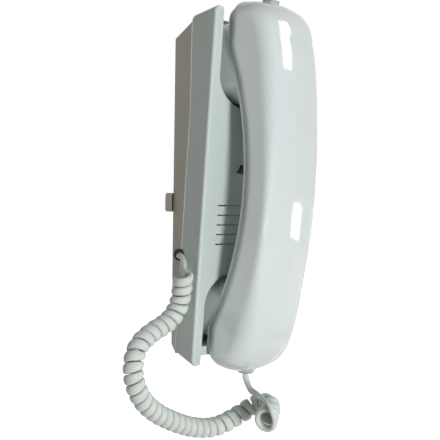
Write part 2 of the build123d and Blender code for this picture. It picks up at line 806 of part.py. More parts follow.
edges = []
arc_radii = []
for (start, start_way), (end, end_way) in zip(stations, stations[1:]):
    if (end - start).cross(start_way).length < 1e-6:
        edges.append(Line(start, end))
    else:
        joint, joint_way = biarc(start, start_way, end, end_way)
        edges.append(TangentArc(start, joint, tangent=start_way))
        edges.append(TangentArc(joint, end, tangent=joint_way))
        arc_radii.append(edges[-2].radius)
        arc_radii.append(edges[-1].radius)
path = Wire(edges)
cord_section = Plane(origin=path @ 0, z_dir=path % 0) * RegularPolygon(
    CORD_DIAMETER / 2, CORD_SIDES
)
curly_cord = sweep(cord_section, path=path, clean=False)
save(curly_cord, "curly_cord")

# Least gap of the wire to itself, measured on points a millimetre apart
count = int(path.length)
samples = [path @ (i / count) for i in range(count + 1)]
apart = int(CORD_DIAMETER * 2)
least = min(
    (samples[i] - samples[j]).length
    for i in range(len(samples))
    for j in range(i + apart, len(samples))
)
print("cord length", round(path.length), "least radius", round(min(arc_radii), 2))
print("cord gap", round(least - CORD_DIAMETER, 2), "wanted over", LEAST_GAP)
area = cord_section.area
print("cord volume", round(curly_cord.volume), "section by length", round(area * path.length))
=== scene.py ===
"""Intercom indoor station: finishes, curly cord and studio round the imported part.

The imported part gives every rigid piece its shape. Here each piece gets its
finish, the curly cord is wound between the case and the receiver, and the
studio is set up at the photograph's viewing angle.
"""

import logging
import math
from collections.abc import Sequence
from dataclasses import dataclass
from enum import Enum
from typing import ClassVar

import bpy
import numpy as np
from mathutils import Matrix, Vector


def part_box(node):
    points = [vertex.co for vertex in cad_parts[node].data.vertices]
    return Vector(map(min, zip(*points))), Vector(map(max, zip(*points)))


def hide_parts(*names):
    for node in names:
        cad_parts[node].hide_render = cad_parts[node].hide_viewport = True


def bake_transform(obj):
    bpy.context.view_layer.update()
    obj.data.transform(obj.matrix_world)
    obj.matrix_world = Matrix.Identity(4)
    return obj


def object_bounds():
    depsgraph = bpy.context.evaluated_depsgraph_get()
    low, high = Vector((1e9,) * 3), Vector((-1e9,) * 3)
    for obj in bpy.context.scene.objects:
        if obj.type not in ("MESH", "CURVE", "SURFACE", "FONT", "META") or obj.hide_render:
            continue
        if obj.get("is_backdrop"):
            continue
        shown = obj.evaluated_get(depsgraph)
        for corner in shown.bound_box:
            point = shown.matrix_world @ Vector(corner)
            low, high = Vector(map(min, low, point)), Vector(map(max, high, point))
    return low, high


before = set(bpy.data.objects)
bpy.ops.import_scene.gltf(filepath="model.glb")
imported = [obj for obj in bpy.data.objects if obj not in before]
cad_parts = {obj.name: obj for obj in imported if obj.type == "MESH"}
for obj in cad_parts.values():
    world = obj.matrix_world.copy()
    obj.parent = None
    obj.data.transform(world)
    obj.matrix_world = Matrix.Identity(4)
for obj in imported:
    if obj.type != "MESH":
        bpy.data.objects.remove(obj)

LOG = logging.getLogger("intercom")

# The part stands this much higher than the drawing that its sizes come from
CASE_RISE = 0.0092

# Width of the photograph and focal length of its camera, in its pixels
PHOTO_WIDTH = 440
FOCAL_LENGTH = 1150

FULL_TURN = 2 * math.pi

Colour = tuple[float, float, float, float]
Place = tuple[float, float, float]


def linear(level: int) -> float:
    """Turn one screen level, 0 to 255, into linear light."""
    share = level / 255
    return share / 12.92 if share <= 0.04045 else ((share + 0.055) / 1.055) ** 2.4


def paint(red: int, green: int, blue: int) -> Colour:
    """Turn a colour as seen on a screen into the one that the shader takes.

    Args:
        red: Red, 0 to 255.
        green: Green, 0 to 255.
        blue: Blue, 0 to 255.

    Returns:
        The colour in linear light, with full opacity.
    """
    return (linear(red), linear(green), linear(blue), 1.0)


WHITE: Colour = (1.0, 1.0, 1.0, 1.0)
PALE_GREY: Colour = (0.8, 0.8, 0.8, 1.0)
BLACK: Colour = (0.0, 0.0, 0.0, 1.0)
HOUSE_DUST = paint(196, 192, 180)
AGED_TONE = paint(150, 146, 128)


class Sheen(Enum):
    """How glossy a surface is left by its mould or tool, as a roughness."""

    POLISHED = 0.06
    GLOSSY = 0.22
    SATIN = 0.38
    MATT = 0.62
    CHALKY = 0.9


class Effect(Enum):
    """The shared surface effects, by the names of their node groups."""

    GRAIN = "moulded_grain"
    DUST = "settled_dust"
    DRIFT = "tone_drift"
    # Painted highlight: a lighter line painted along the edges of mouldings
    EDGE_HIGHLIGHT = "painted_edge_highlight"


# Shared effects


class Net:
    """A node tree with short ways to add and join its nodes."""

    def __init__(self, tree: bpy.types.NodeTree) -> None:
        """Start on a tree.

        Args:
            tree: The node tree of a material, a group or the world.
        """
        self.tree = tree

    def add(
        self, kind: str, feeds: dict[str | int, object] | None = None, **settings: object
    ) -> bpy.types.Node:
        """Add a node, set its properties and feed its inputs.

        Args:
            kind: The node's type name, without ShaderNode where it starts with that.
            feeds: Plain values or output sockets, by the input's name or number.
            settings: Properties of the node, by name.

        Returns:
            The new node.
        """
        prefix = "" if kind.startswith("Node") else "ShaderNode"
        node = self.tree.nodes.new(prefix + kind)
        for name, value in settings.items():
            setattr(node, name, value)
        for name, value in (feeds or {}).items():
            self.join(value, node.inputs[name])
        return node

    def join(self, source: object, target: bpy.types.NodeSocket) -> None:
        """Feed an input from an output socket, or set it to a plain value.

        Args:
            source: The output socket or the value.
            target: The input.
        """
        if isinstance(source, bpy.types.NodeSocket):
            self.tree.links.new(source, target)
        else:
            target.default_value = source

    def maths(self, operation: str, *values: object) -> bpy.types.NodeSocket:
        """Add a sum on values or sockets.

        Args:
            operation: The Math node's operation.
            values: Numbers or output sockets, in order.

        Returns:
            The result's socket.
        """
        return self.add("Math", dict(enumerate(values)), operation=operation).outputs[0]

    def on_piece(self) -> bpy.types.NodeSocket:
        """Place on the piece itself, in metres."""
        return self.add("TexCoord").outputs["Object"]

    def noise(self, scale: object, detail: float) -> bpy.types.NodeSocket:
        """Add a noise over the piece.

        Args:
            scale: Size of the pattern, a number or a socket.
            detail: How many finer layers it has.

        Returns:
            The noise's value socket, about 0.5 in the mean.
        """
        feeds = {"Vector": self.on_piece(), "Scale": scale, "Detail": detail}
        return self.add("TexNoise", feeds).outputs["Fac"]

    def ramp(
        self, value: bpy.types.NodeSocket, low: float, high: float
    ) -> bpy.types.NodeSocket:
        """Turn a value into a mask that rises from 0 at low to 1 at high.

        Args:
            value: The value's socket.
            low: Where the mask starts.
            high: Where the mask is full.

        Returns:
            The mask's socket.
        """
        feeds = {"Value": value, "From Min": low, "From Max": high}
        node = self.add("MapRange", feeds, interpolation_type="SMOOTHSTEP")
        return node.outputs["Result"]

    def blend(
        self,
        share: bpy.types.NodeSocket,
        first: object,
        second: object,
        mode: str = "MIX",
    ) -> bpy.types.NodeSocket:
        """Mix two colours by a mask.

        Args:
            share: The mask's socket.
            first: Colour or socket where the mask is 0.
            second: Colour or socket where the mask is 1.
            mode: The Mix node's way of blending.

        Returns:
            The mixed colour's socket.
        """
        node = self.add("Mix", {"Factor": share}, data_type="RGBA", blend_type=mode)
        for name, colour in (("A", first), ("B", second)):
            place = next(s for s in node.inputs if s.name == name and s.type == "RGBA")
            self.join(colour, place)
        return next(s for s in node.outputs if s.type == "RGBA")

    def rounded(self, radius: float, samples: int) -> bpy.types.NodeSocket:
        """Normal of the surface with its edges rounded, by a radius in metres."""
        return self.add("Bevel", {"Radius": radius}, samples=samples).outputs["Normal"]

    def bump(
        self, height: bpy.types.NodeSocket, strength: float, relief: float
    ) -> bpy.types.Node:
        """Turn a height over the surface into a normal.

        Args:
            height: The height's socket.
            strength: How much of it shows.
            relief: Height of the full relief, in metres.

        Returns:
            The bump's node.
        """
        return self.add(
            "Bump", {"Height": height, "Strength": strength, "Distance": relief}
        )


class SurfaceEffects:
    """The node groups that more than one material uses, each built once."""

    wide_grain_scale: ClassVar[float] = 60.0
    wide_grain_share: ClassVar[float] = 0.35
    facing_up: ClassVar[tuple[float, float]] = (0.35, 0.95)
    dust_patch_scale: ClassVar[float] = 55.0
    dust_patches: ClassVar[tuple[float, float]] = (0.3, 0.75)
    drift_scale: ClassVar[float] = 14.0
    drift_clouds: ClassVar[tuple[float, float]] = (0.3, 0.7)
    gloss_swing: ClassVar[tuple[float, float]] = (0.4, 0.8)
    # Where the painted edge highlight shows: the rounding radius and how far the normal
    # turns
    edge_radius: ClassVar[float] = 0.0006
    edge_turn: ClassVar[tuple[float, float]] = (0.02, 0.2)

    def __init__(self) -> None:
        """Build every group."""
        self.groups: dict[Effect, bpy.types.NodeTree] = {
            Effect.GRAIN: self._grain(),
            Effect.DUST: self._dust(),
            Effect.DRIFT: self._drift(),
            Effect.EDGE_HIGHLIGHT: self._edges(),
        }

    @staticmethod
    def _group(
        effect: Effect, takes: dict[str, str], gives: dict[str, str]
    ) -> tuple[Net, bpy.types.NodeOutputs, bpy.types.NodeInputs]:
        """Start a group with named sockets.

        Args:
            effect: Which effect it is.
            takes: Input names and socket kinds.
            gives: Output names and socket kinds.

        Returns:
            The group's net, what it is given, and where its results go.
        """
        tree = bpy.data.node_groups.new(effect.value, "ShaderNodeTree")
        for way, sockets in (("INPUT", takes), ("OUTPUT", gives)):
            for name, kind in sockets.items():
                tree.interface.new_socket(
                    name=name, in_out=way, socket_type="NodeSocket" + kind
                )
        net = Net(tree)
        return net, net.add("NodeGroupInput").outputs, net.add("NodeGroupOutput").inputs

    def _grain(self) -> bpy.types.NodeTree:
        """Fine pebble grain of a spark-eroded mould, as a height.

        Returns:
            The group's tree.
        """
        net, given, result = self._group(
            Effect.GRAIN, {"Scale": "Float", "Depth": "Float"}, {"Height": "Float"}
        )
        fine = net.noise(given["Scale"], detail=2.0)
        wide = net.noise(self.wide_grain_scale, detail=1.0)
        both = net.maths("MULTIPLY_ADD", wide, self.wide_grain_share, fine)
        net.join(net.maths("MULTIPLY", both, given["Depth"]), result["Height"])
        return net.tree

    def _dust(self) -> bpy.types.NodeTree:
        """Dust that settles on what faces up, as a colour and a mask.

        Returns:
            The group's tree.
        """
        net, given, result = self._group(
            Effect.DUST,
            {"Color": "Color", "Dust Color": "Color", "Amount": "Float"},
            {"Color": "Color", "Mask": "Float"},
        )
        normal = net.add("NewGeometry").outputs["Normal"]
        parts = net.add("SeparateXYZ", {0: normal}).outputs
        facing = net.ramp(parts["Z"], *self.facing_up)
        patches = net.noise(self.dust_patch_scale, detail=4.0)
        patches = net.ramp(patches, *self.dust_patches)
        mask = net.maths("MULTIPLY", facing, patches)
        mask = net.maths("MULTIPLY", mask, given["Amount"])
        net.join(net.blend(mask, given["Color"], given["Dust Color"]), result["Color"])
        net.join(mask, result["Mask"])
        return net.tree

    def _drift(self) -> bpy.types.NodeTree:
        """Slow drift of the tone over a piece, with the gloss that goes with it.

        Returns:
            The group's tree.
        """
        net, given, result = self._group(
            Effect.DRIFT,
            {"Color": "Color", "Amount": "Float", "Roughness": "Float"},
            {"Color": "Color", "Roughness": "Float"},
        )
        slow = net.ramp(net.noise(self.drift_scale, detail=3.0), *self.drift_clouds)
        amount = net.maths("MULTIPLY", slow, given["Amount"])
        aged = net.blend(amount, given["Color"], AGED_TONE, "MULTIPLY")
        net.join(aged, result["Color"])
        swing = net.maths("MULTIPLY_ADD", slow, *self.gloss_swing)
        net.join(net.maths("MULTIPLY", given["Roughness"], swing), result["Roughness"])
        return net.tree

    def _edges(self) -> bpy.types.NodeTree:
        """Painted highlight: a lighter line painted where a moulding turns over an edge,
        in place of the light that the edge would catch.

        Returns:
            The group's tree.
        """
        net, given, result = self._group(
            Effect.EDGE_HIGHLIGHT,
            {"Color": "Color", "Edge Color": "Color", "Amount": "Float"},
            {"Color": "Color"},
        )
        normal = net.add("NewGeometry").outputs["Normal"]
        both = {0: net.rounded(self.edge_radius, samples=6), 1: normal}
        match = net.add("VectorMath", both, operation="DOT_PRODUCT").outputs["Value"]
        # The painted edge highlight is strongest where the rounded normal turns away from
        # the true one
        turned = net.ramp(net.maths("SUBTRACT", 1.0, match), *self.edge_turn)
        mask = net.maths("MULTIPLY", turned, given["Amount"])
        net.join(net.blend(mask, given["Color"], given["Edge Color"]), result["Color"])
        return net.tree

    def place(self, net: Net, effect: Effect, **values: object) -> bpy.types.NodeOutputs:
        """Put an effect into a material.

        Args:
            net: The material's net.
            effect: Which effect.
            values: Its inputs by name, with underscores for spaces.

        Returns:
            The group's outputs.
        """
        feeds = {name.replace("_", " "): value for name, value in values.items()}
        return net.add("Group", feeds, node_tree=self.groups[effect]).outputs


# Finishes


def blank(name: str) -> tuple[bpy.types.Material, Net, bpy.types.NodeInputs]:
    """Start a material.

    Args:
        name: The material's name.

    Returns:
        The material, its net and the inputs of its Principled BSDF.
    """
    material = bpy.data.materials.new(name)
    material.use_nodes = True
    tree = material.node_tree
    return material, Net(tree), tree.nodes["Principled BSDF"].inputs


@dataclass(frozen=True)
class Moulding:
    """Injection-moulded plastic or rubber."""

    name: str
    colour: Colour
    sheen: Sheen = Sheen.GLOSSY
    grain_scale: float = 900.0
    grain_depth: float = 0.02
    drift: float = 0.05
    dust: float = 0.25
    # Colour and strength of the painted edge highlight; none is painted when the colour is
    # None
    edge_highlight_colour: Colour | None = None
    rounding: float = 0.0
    edge_highlight_amount: float = 0.8
    dulling: float = 0.35
    bump: float = 0.5
    relief: float = 0.0004

    def material(self, effects: SurfaceEffects) -> bpy.types.Material:
        """Make the material.

        Args:
            effects: The shared node groups.

        Returns:
            The finished material.
        """
        material, net, surface = blank(self.name)
        drift = effects.place(
            net,
            Effect.DRIFT,
            Color=self.colour,
            Amount=self.drift,
            Roughness=self.sheen.value,
        )
        dust = effects.place(
            net,
            Effect.DUST,
            Color=drift["Color"],
            Dust_Color=HOUSE_DUST,
            Amount=self.dust,
        )
        colour = dust["Color"]
        # Painted highlight: a lighter colour mixed in where the surface turns over an edge
        if self.edge_highlight_colour is not None:
            colour = effects.place(
                net,
                Effect.EDGE_HIGHLIGHT,
                Color=colour,
                Edge_Color=self.edge_highlight_colour,
                Amount=self.edge_highlight_amount,
            )["Color"]
        net.join(colour, surface["Base Color"])
        dull = net.maths("MULTIPLY", dust["Mask"], self.dulling)
        net.join(net.maths("ADD", drift["Roughness"], dull), surface["Roughness"])
        grain = effects.place(
            net, Effect.GRAIN, Scale=self.grain_scale, Depth=self.grain_depth
        )
        bump = net.bump(grain["Height"], self.bump, self.relief)
        if self.rounding:
            net.join(net.rounded(self.rounding, samples=8), bump.inputs["Normal"])
        net.join(bump.outputs["Normal"], surface["Normal"])
        return material


@dataclass(frozen=True)
class Plating:
    """Plated or drawn metal with faint tool marks."""

    name: str
    colour: Colour
    sheen: Sheen = Sheen.SATIN
    marks_scale: float = 320.0
    marks_depth: float = 0.3
    drift: float = 0.18
    bump: float = 0.15
    relief: float = 0.0002

    def material(self, effects: SurfaceEffects) -> bpy.types.Material:
        """Make the material.

        Args:
            effects: The shared node groups.

        Returns:
            The finished material.
        """
        material, net, surface = blank(self.name)
        drift = effects.place(
            net,
            Effect.DRIFT,
            Color=self.colour,
            Amount=self.drift,
            Roughness=self.sheen.value,
        )
        net.join(drift["Color"], surface["Base Color"])
        net.join(drift["Roughness"], surface["Roughness"])
        net.join(1.0, surface["Metallic"])
        marks = effects.place(
            net, Effect.GRAIN, Scale=self.marks_scale, Depth=self.marks_depth
        )
        bump = net.bump(marks["Height"], self.bump, self.relief)
        net.join(bump.outputs["Normal"], surface["Normal"])
        return material


@dataclass(frozen=True)
class Laminate:
    """Circuit board with a solder mask over copper."""

    name: str
    mask_colour: Colour
    copper_colour: Colour
    sheen: Sheen = Sheen.GLOSSY
    tracks_scale: float = 180.0
    track_gap: float = 0.06
    drift: float = 0.2

    def material(self, effects: SurfaceEffects) -> bpy.types.Material:
        """Make the material.

        Args:
            effects: The shared node groups.

        Returns:
            The finished material.
        """
        material, net, surface = blank(self.name)
        upright = (math.radians(90), 0, 0)
        turn = net.add("Mapping", {"Vector": net.on_piece(), "Rotation": upright})
        tracks = net.add(
            "TexBrick",
            {
                "Vector": turn.outputs["Vector"],
                "Scale": self.tracks_scale,
                "Mortar Size": self.track_gap,
                "Color1": WHITE,
                "Color2": PALE_GREY,
                "Mortar": BLACK,
            },
            offset=0.5,
        )
        drift = effects.place(
            net,
            Effect.DRIFT,
            Color=net.blend(tracks.outputs["Fac"], self.mask_colour, self.copper_colour),
            Amount=self.drift,
            Roughness=self.sheen.value,
        )
        net.join(drift["Color"], surface["Base Color"])
        net.join(drift["Roughness"], surface["Roughness"])
        return material


FINISHES: dict[str, Moulding | Plating | Laminate] = {
    finish.name: finish
    for finish in (
        Moulding(
            "case_plastic",
            paint(202, 213, 211),
            Sheen.GLOSSY,
            # Painted highlight along the cover's edges and seam
            edge_highlight_colour=paint(238, 243, 240),
        ),
        Moulding("rear_plastic", paint(186, 184, 171), Sheen.SATIN),
        Moulding(
            "receiver_plastic",
            paint(213, 222, 224),
            Sheen.POLISHED,
            grain_depth=0.008,
            # Painted highlight along the receiver shell's edges
            edge_highlight_colour=paint(246, 248, 246),
            rounding=0.006,
        ),
        Moulding(
            "receiver_back_plastic",
            paint(206, 216, 214),
            Sheen.GLOSSY,
            # Painted highlight along the receiver back's edges
            edge_highlight_colour=paint(240, 243, 240),
        ),
        Moulding(
            "cord_pvc",
            paint(214, 222, 218),
            Sheen.POLISHED,
            grain_depth=0.004,
            drift=0.12,
            dust=0.1,
        ),
        Moulding("cord_grommet_pvc", paint(214, 219, 214), Sheen.SATIN),
        Moulding(
            "grommet_rubber", paint(26, 27, 26), Sheen.MATT, grain_depth=0.06, dust=0.1
        ),
        Moulding("boot_rubber", paint(34, 34, 34), Sheen.MATT),
        Moulding("button_plastic", paint(30, 31, 30), Sheen.GLOSSY),
        Moulding("plunger_plastic", paint(200, 206, 200), Sheen.SATIN),
        Moulding("terminal_plastic", paint(58, 92, 66), Sheen.SATIN),
        Moulding("switch_plastic", paint(40, 40, 42), Sheen.SATIN),
        Moulding("hook_switch_plastic", paint(44, 44, 46), Sheen.SATIN),
        Moulding("component_black", paint(28, 28, 30), Sheen.SATIN),
        Moulding(
            "acoustic_felt",
            paint(52, 52, 54),
            Sheen.CHALKY,
            grain_scale=1400.0,
            grain_depth=0.6,
        ),
        Plating("zinc_steel", paint(134, 130, 121)),
        Plating("board_screw_steel", paint(190, 190, 186), Sheen.GLOSSY),
        Plating("handset_screw_steel", paint(186, 186, 182), Sheen.GLOSSY),
        Plating("speaker_steel", paint(168, 170, 172)),
        Plating("capsule_metal", paint(178, 178, 176)),
        Plating("microphone_metal", paint(182, 184, 186), Sheen.GLOSSY),
        Laminate("board_laminate", paint(38, 84, 54), paint(72, 112, 70)),
    )
}


class Workshop:
    """Makes each finish once and puts it on the pieces."""

    def __init__(self) -> None:
        """Build the shared effects."""
        self.effects = SurfaceEffects()
        self.made: dict[str, bpy.types.Material] = {}

    def finish(self, slot: str) -> bpy.types.Material:
        """Give the material of a slot, made on first use.

        Args:
            slot: The record's material slot.

        Returns:
            The material.
        """
        if slot not in self.made:
            self.made[slot] = FINISHES[slot].material(self.effects)
        return self.made[slot]

    def dress(self, node: str, slot: str) -> None:
        """Put a slot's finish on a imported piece.

        Args:
            node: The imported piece's name.
            slot: Its material slot.
        """
        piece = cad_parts[node]
        piece.data.materials.clear()
        piece.data.materials.append(self.finish(slot))
        LOG.info("%s finished as %s", node, slot)


# Sub-assemblies


@dataclass
class SubAssembly:
    """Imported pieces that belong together, with the slot of each one's finish."""

    workshop: Workshop
    slots: ClassVar[dict[str, str]] = {}

    def build(self) -> None:
        """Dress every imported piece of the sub-assembly."""
        for node, slot in self.slots.items():
            self.workshop.dress(node, slot)


class WallCase(SubAssembly):
    """The case on the wall: cover, rear shell, bar, button and plunger."""

    slots: ClassVar[dict[str, str]] = {
        "front_cover": "case_plastic",
        "rear_shell": "rear_plastic",
        "mounting_bar": "zinc_steel",
        "door_button": "button_plastic",
        "hook_plunger": "plunger_plastic",
        "base_grommet": "grommet_rubber",
    }


class Electronics(SubAssembly):
    """What the case holds: board, switches, terminals and speaker."""

    slots: ClassVar[dict[str, str]] = {
        "circuit_board": "board_laminate",
        "board_screws": "board_screw_steel",
        "terminal_block": "terminal_plastic",
        "touch_switch": "switch_plastic",
        "board_components": "component_black",
        "call_speaker": "speaker_steel",
        "hook_switch": "hook_switch_plastic",
    }


class Receiver(SubAssembly):
    """The handset: outer shell, back, capsule and microphone."""

    slots: ClassVar[dict[str, str]] = {
        "handset_shell": "receiver_plastic",
        "handset_back": "receiver_back_plastic",
        "receiver_felt": "acoustic_felt",
        "receiver_capsule": "capsule_metal",
        "microphone_boot": "boot_rubber",
        "microphone": "microphone_metal",
        "handset_screws": "handset_screw_steel",
        "handset_grommet": "cord_grommet_pvc",
    }


# Curly cord


def raised(places: Sequence[Place]) -> list[Vector]:
    """Places of the drawing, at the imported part's height."""
    return [Vector((x, y, z + CASE_RISE)) for x, y, z in places]


def route_points(controls: Sequence[Vector], steps: int) -> np.ndarray:
    """Read the points of the smooth spline that the control points draw.

    Args:
        controls: The spline's control points, in metres.
        steps: Points to each control point.

    Returns:
        The points along the spline, one row each.
    """
    curve = bpy.data.curves.new("cord_route", "CURVE")
    curve.dimensions = "3D"
    curve.resolution_u = steps
    spline = curve.splines.new("NURBS")
    spline.points.add(len(controls) - 1)
    for point, place in zip(spline.points, controls):
        point.co = (*place, 1.0)
    spline.order_u = 3
    spline.use_endpoint_u = True
    holder = bpy.data.objects.new("cord_route", curve)
    mesh = bpy.data.meshes.new_from_object(holder)
    points = np.array([v.co for v in mesh.vertices], float)
    bpy.data.objects.remove(holder)
    bpy.data.curves.remove(curve)
    bpy.data.meshes.remove(mesh)
    return points


def unit(rows: np.ndarray) -> np.ndarray:
    """Rows scaled to length one."""
    return rows / np.linalg.norm(rows, axis=-1, keepdims=True)


def ways_along(points: np.ndarray) -> np.ndarray:
    """Direction of travel at each point of a line."""
    return unit(np.gradient(points, axis=0))


def lengths_along(points: np.ndarray) -> np.ndarray:
    """Length of a line from its start to each of its points."""
    steps = np.linalg.norm(np.diff(points, axis=0), axis=1)
    return np.concatenate([[0.0], np.cumsum(steps)])


def square_to(ways: np.ndarray, rows: np.ndarray) -> np.ndarray:
    """Rows leant over until they are square to the ways, at length one."""
    return unit(rows - ways * np.sum(rows * ways, axis=1, keepdims=True))


def turned_about(ways: np.ndarray, rows: np.ndarray, angle: np.ndarray) -> np.ndarray:
    """Turn directions across a line about the line.

    Args:
        ways: Direction of travel at each point.
        rows: The direction across the line at each point.
        angle: How far each one turns, in radians.

    Returns:
        The turned directions.
    """
    return rows * np.cos(angle)[:, None] + np.cross(ways, rows) * np.sin(angle)[:, None]


def carried_across(ways: np.ndarray, start: np.ndarray) -> np.ndarray:
    """Carry a direction across a line along it, without twist.

    Args:
        ways: Direction of travel at each point.
        start: The direction at the first point.

    Returns:
        The direction across the line at each point.
    """
    rows = []
    for way in ways:
        start = start - way * start.dot(way)
        start = start / np.linalg.norm(start)
        rows.append(start)
    return np.array(rows)


@dataclass
class CurlyCord:
    """The curly cord from the case's left side to the receiver's lower end."""

    workshop: Workshop
    route: tuple[Place, ...] = (
        (-0.0514, -0.0246, -0.0530),
        (-0.0482, -0.0218, -0.0672),
        (-0.0553, -0.0190, -0.0797),
        (-0.0708, -0.0160, -0.0856),
        (-0.0832, -0.0145, -0.0936),
        (-0.0862, -0.0145, -0.1088),
        (-0.0795, -0.0155, -0.1232),
        (-0.0668, -0.0170, -0.1332),
        (-0.0510, -0.0195, -0.1406),
        (-0.0338, -0.0215, -0.1465),
        (-0.0160, -0.0260, -0.1485),
        (-0.0010, -0.0320, -0.1425),
        (0.0070, -0.0445, -0.1325),
        (0.0000, -0.0585, -0.1345),
        (-0.0160, -0.0615, -0.1400),
    )
    route_steps: int = 40
    case_lead: tuple[Place, ...] = ((-0.0428, -0.0184, -0.0438),)
    receiver_lead: tuple[Place, ...] = (
        (-0.0165, -0.0655, -0.1318),
        (-0.0120, -0.0580, -0.1286),
        (-0.0060, -0.0492, -0.1268),
        (-0.0012, -0.0402, -0.1232),
    )
    lead_steps: int = 5
    lead_hold: float = 0.34
    held: float = 0.0024
    case_way: Place = (-1.0, 0.0, 0.0)
    receiver_way: Place = (0.0, 0.0639, -0.9980)
    curls: tuple[float, ...] = (
        0.0, 3.7, 7.3, 11.0, 14.9, 18.9, 22.9, 26.8, 30.2, 33.5, 36.7,
    )
    start_turn: float = 0.88
    coil_radius: float = 0.0046
    loose_curls: float = 1.4
    looseness: float = 0.0012
    band_width: float = 0.0050
    least_width: float = 0.0040
    most_width: float = 0.0064
    band_thickness: float = 0.0034
    band_gap: float = 0.0005
    lead_width: float = 0.0040
    lead_thickness: float = 0.0027
    case_twist: float = 0.4
    receiver_twist: float = 0.35
    fade: float = 0.012
    rings_a_turn: int = 26
    sides: int = 14
    squareness: float = 0.92

    def _coil(self) -> tuple[np.ndarray, np.ndarray]:
        """Wind the coil round its route.

        Returns:
            The wire's centre points, and the coil's own axis at each.
        """
        line = route_points(raised(self.route), self.route_steps)
        ways = ways_along(line)
        along = lengths_along(line)
        across = carried_across(ways, np.cross(ways[0], (0.0, 0.0, 1.0)))
        last = self.curls[-1]
        turns = np.linspace(0.0, last, int(last * self.rings_a_turn) + 1)
        shares = np.interp(turns, self.curls, np.linspace(0.0, 1.0, len(self.curls)))
        target = shares * along[-1]

        def at(rows: np.ndarray) -> np.ndarray:
            """Rows of the route taken at the places of the rings."""
            return np.stack([np.interp(target, along, row) for row in rows.T], 1)

        axis = unit(at(ways))
        outwards = turned_about(
            axis, square_to(axis, at(across)), FULL_TURN * (turns + self.start_turn)
        )
        loose = np.maximum(0.0, turns - last + self.loose_curls)
        radius = self.coil_radius + self.looseness * loose
        return at(line) + outwards * radius[:, None], axis

    def _ends(self) -> tuple[Vector, Vector]:
        """Find where the cord leaves its two grommets.

        Returns:
            The case end and the receiver end.
        """
        low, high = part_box("base_grommet")
        case_end = Vector((low.x, (low.y + high.y) / 2, (low.z + high.z) / 2))
        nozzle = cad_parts["handset_grommet"].data
        places = np.array([v.co for v in nozzle.vertices], float)
        middle = places.mean(axis=0)
        way = Vector(self.receiver_way).normalized()
        receiver_end = Vector(middle) + way * ((places - middle) @ np.array(way)).max()
        receiver_end.x = 0.0
        return case_end, receiver_end

    def _lead(
        self, places: list[Vector], setting_off: Vector, arrival: Vector
    ) -> np.ndarray:
        """Draw a lead as one smooth spline that passes its places in turn.

        Args:
            places: The places in order.
            setting_off: Direction of travel at the first place.
            arrival: Direction of travel at the last place.

        Returns:
            The points along the spline.
        """
        headings = [setting_off]
        for before, after in zip(places, places[2:]):
            headings.append((after - before).normalized())
        headings.append(arrival)
        controls = [places[0]]
        for start, heading, end, end_heading in zip(
            places, headings, places[1:], headings[1:]
        ):
            hold = (end - start).length * self.lead_hold
            controls += [start + heading * hold, end - end_heading * hold]
        controls.append(places[-1])
        return route_points(controls, self.lead_steps)

    def path(self) -> tuple[np.ndarray, np.ndarray, int, int]:
        """Lay the whole wire, from the case's grommet to the receiver's.

        Returns:
            The wire's centre points, the coil's axis at each, and the numbers of
            the coil's first and last point.
        """
        coil, axis = self._coil()
        ways = ways_along(coil)
        case_end, receiver_end = self._ends()
        case_way = Vector(self.case_way)
        receiver_way = Vector(self.receiver_way).normalized()
        start = case_end - case_way * self.held
        end = receiver_end - receiver_way * self.held
        head = self._lead(
            [start, *raised(self.case_lead), Vector(coil[0])], case_way, Vector(ways[0])
        )
        tail = self._lead(
            [Vector(coil[-1]), *raised(self.receiver_lead), end],
            Vector(ways[-1]),
            -receiver_way,
        )
        line = np.concatenate([head[:-1], coil, tail[1:]])
        first, last = len(head) - 1, len(head) + len(coil) - 2
        rows = np.clip(np.arange(len(line)), first, last) - first
        return line, axis[rows], first, last

    def _flats(
        self, ways: np.ndarray, axes: np.ndarray, first: int, last: int
    ) -> np.ndarray:
        """Turn the band's wide side along the coil, and gently round on the leads.

        Args:
            ways: Direction of travel at each point.
            axes: The coil's axis at each point.
            first: Number of the coil's first point.
            last: Number of the coil's last point.

        Returns:
            The direction of the band's width at each point.
        """
        flat = square_to(ways, axes)
        leads = (
            (slice(first, None, -1), self.case_twist),
            (slice(last, None), self.receiver_twist),
        )
        for rows, twist in leads:
            carried = carried_across(ways[rows], flat[rows][0])
            share = np.linspace(0.0, 1.0, len(carried))
            eased = share * share * (3 - 2 * share)
            flat[rows] = turned_about(ways[rows], carried, FULL_TURN * twist * eased)
        return flat

    def _band(
        self, line: np.ndarray, axes: np.ndarray, first: int, last: int
    ) -> np.ndarray:
        """Choose the band's width so that the curls lie close beside each other.

        Args:
            line: The wire's centre points.
            axes: The coil's axis at each.
            first: Number of the coil's first point.
            last: Number of the coil's last point.

        Returns:
            The band's width at each point.
        """
        turn = self.rings_a_turn
        steps = np.sum((line[turn:] - line[:-turn]) * axes[turn:], axis=1)
        pitch = np.abs(steps)[first : last - turn + 1]
        rows = np.arange(len(line)) - first
        after = np.clip(rows, 0, len(pitch) - 1)
        before = np.clip(rows - turn, 0, len(pitch) - 1)
        free = (pitch[after] + pitch[before]) / 2 - self.band_gap
        return np.clip(free, self.least_width, self.most_width)

